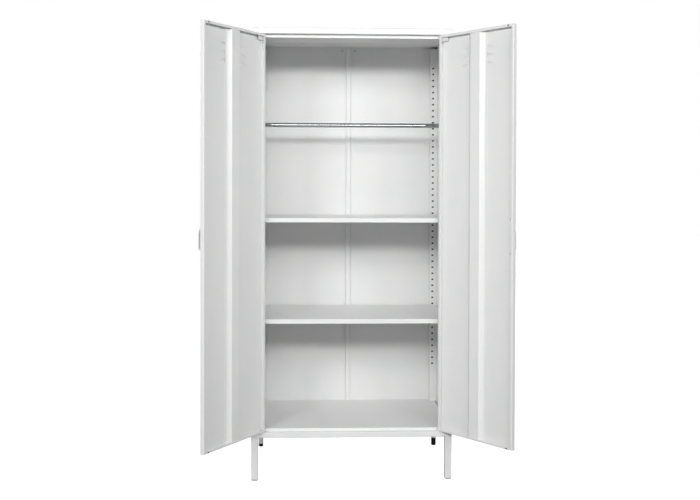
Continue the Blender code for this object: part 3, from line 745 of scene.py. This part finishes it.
def plug_in(leg_low, leg_high, middle, rim, top):
    """The part of a foot that fills the leg's end."""
    half = (leg_high.x - leg_low.x) / 2 - PLUG_INSET
    rings = [foot_ring(middle, half, height, 0.12) for height in (rim - 0.0010, top)]
    return loft("plug", rings)


def rear_foot(side):
    """A black screw-down foot: a round pad with a soft edge under a ribbed sleeve."""
    node = "foot_rear_" + side
    low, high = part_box(node)
    leg_low, leg_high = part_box("leg_rear_" + side)
    middle = (low + high) / 2
    half = (high.x - low.x) / 2
    rim = leg_low.z
    height = low.z + FOOT_PAD
    profile = [(half * 0.70, low.z, 0.9), (half * 0.88, low.z + 0.0006, 0.9)]
    profile += [(half * 0.98, low.z + 0.0020, 0.85), (half, height, 0.7)]
    while height + RIB_PITCH < rim:
        waist = half * RIB_WAIST
        profile += [(half, height + 0.0026, 0.5), (waist, height + 0.0030, 0.5)]
        profile += [(waist, height + 0.0036, 0.5), (half, height + RIB_PITCH, 0.5)]
        height += RIB_PITCH
    profile.append((half, rim, 0.4))
    rings = [foot_ring(middle, *level) for level in profile]
    plug = plug_in(leg_low, leg_high, middle, rim, high.z)
    body = join(loft("rear_foot_" + side, rings), plug)
    finish_piece(body, "black_plastic", "cabinet", node)


def lower_pin(side):
    """The pin that a door turns on, with a domed end that stays below the door's lip."""
    node = "hinge_pin_bottom_" + side
    low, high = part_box(node)
    radius = (high.x - low.x) / 2
    top = high.z - PIN_SHORTER
    profile = [(radius * 0.8, low.z), (radius, low.z + 0.0005), (radius, top - radius * 0.6)]
    for angle in (20, 40, 60, 80):
        reach = math.sin(math.radians(angle))
        profile.append((radius * math.cos(math.radians(angle)), top - radius * 0.6 * (1 - reach)))
    middle = (low + high) / 2
    pin = turned("lower_pin_" + side, profile, "Z", (middle.x, middle.y, 0), steps=32)
    finish_piece(pin, "zinc_plate", "cabinet", node)


for side in SIDES:
    for level in ("front", "rear"):
        upright(side, level)
for side in SIDES:
    front_foot(side)
    rear_foot(side)
    lower_pin(side)
hanging_rail()
for side in SIDES:
    rail_cup(side)
flange_screws()


# Camera, floor and light

top_low, top_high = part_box("top_panel")
CENTRE_X = (top_low.x + top_high.x) / 2
FRONT_Y = top_low.y
CAMERA_PLACE = (-0.142, -3.605, 1.178)
CAMERA_TURN = -2.1  # degrees, to the right
CAMERA_TILT = 90 - 0.68
CAMERA_ROLL = 0.16
AIM = (0, 0.25, 0.95)  # where the lights point
SOFTBOXES = (  # name, place, size and watts
    ("key_light", (0.1, -5.0, 2.5), (3.0, 0.5), 104),
    ("left_high_light", (-2.8, -4.5, 3.0), (1.8, 1.2), 114),
    ("right_high_light", (2.8, -4.5, 3.0), (1.8, 1.2), 84),
    ("right_side_light", (4, -2.0, 3.2), (2, 1.5), 22),
    ("left_side_light", (-4, -2.5, 1.6), (2, 3), 24),
    ("rear_light_left", (-3.5, 4.0, 2.2), (2, 2), 70),
    ("rear_light_right", (3.5, 4.0, 2.2), (2, 2), 50),
)


def from_front(x, y, z):
    """A place measured from the middle of the cabinet's front, on the floor."""
    return Vector((CENTRE_X + x, FRONT_Y + y, z))


def add_camera():
    """A camera a little left of the middle, looking straight in with its frame shifted down."""
    camera = bpy.data.objects.new("camera", bpy.data.cameras.new("camera"))
    bpy.context.scene.collection.objects.link(camera)
    turn = Matrix.Rotation(math.radians(CAMERA_TURN), 4, "Z")
    tilt = Matrix.Rotation(math.radians(CAMERA_TILT), 4, "X")
    roll = Matrix.Rotation(math.radians(CAMERA_ROLL), 4, "Z")
    camera.matrix_world = Matrix.Translation(from_front(*CAMERA_PLACE)) @ turn @ tilt @ roll
    camera.data.sensor_width = 36
    camera.data.lens = 46.72
    camera.data.shift_y = -0.0774
    bpy.context.scene.camera = camera


def add_plane(name, height, colour, glow):
    """A large flat floor that gives off a little light of its own, as a lit sweep of paper does."""
    mesh = bpy.data.meshes.new(name)
    builder = bmesh.new()
    bmesh.ops.create_grid(builder, x_segments=1, y_segments=1, size=20)
    builder.to_mesh(mesh)
    builder.free()
    plane = bpy.data.objects.new(name, mesh)
    bpy.context.scene.collection.objects.link(plane)
    plane.location.z = height
    material, _, _, shader = new_material(name)
    shader.inputs["Base Color"].default_value = linear(colour)
    shader.inputs["Roughness"].default_value = 0.9
    shader.inputs["Specular IOR Level"].default_value = 0.0
    shader.inputs["Emission Color"].default_value = (1, 1, 1, 1)
    shader.inputs["Emission Strength"].default_value = glow
    mesh.materials.append(material)
    return plane


def add_floor():
    """The white floor that is seen, and a greyer one just under it that sends the light back up."""
    seen = add_plane("floor_seen", 0.0, "#E0E0E0", 1.0)
    seen.visible_diffuse = False
    seen.visible_glossy = False
    seen.visible_shadow = False
    bounce = add_plane("floor_bounce", -1 * MM, "#9A9A9A", 0.0)
    bounce.visible_camera = False


def add_softbox(name, place, target, size, power):
    """A rectangular area light turned to face its target."""
    lamp = bpy.data.lights.new(name, "AREA")
    lamp.shape = "RECTANGLE"
    lamp.size, lamp.size_y = size
    lamp.energy = power
    obj = bpy.data.objects.new(name, lamp)
    bpy.context.scene.collection.objects.link(obj)
    obj.location = place
    obj.rotation_euler = (target - place).to_track_quat("-Z", "Y").to_euler()


def add_world():
    """A white studio, which the camera sees at full strength and which adds only a little light."""
    world = bpy.data.worlds.new("studio")
    world.use_nodes = True
    tree = world.node_tree
    tree.nodes.clear()
    path = add(tree, "ShaderNodeLightPath")
    strength = add(
        tree,
        "ShaderNodeMapRange",
        {"Value": path.outputs["Is Camera Ray"], "To Min": 0.01, "To Max": 1.0},
    )
    sky = add(tree, "ShaderNodeBackground", {"Color": (1, 1, 1, 1), "Strength": strength.outputs["Result"]})
    output = add(tree, "ShaderNodeOutputWorld")
    tree.links.new(sky.outputs["Background"], output.inputs["Surface"])
    bpy.context.scene.world = world


add_camera()
add_floor()
add_world()
for name, place, size, watts in SOFTBOXES:
    add_softbox(name, from_front(*place), from_front(*AIM), size, watts)
bpy.context.scene.view_settings.view_transform = "Standard"
bpy.context.scene.view_settings.look = "None"
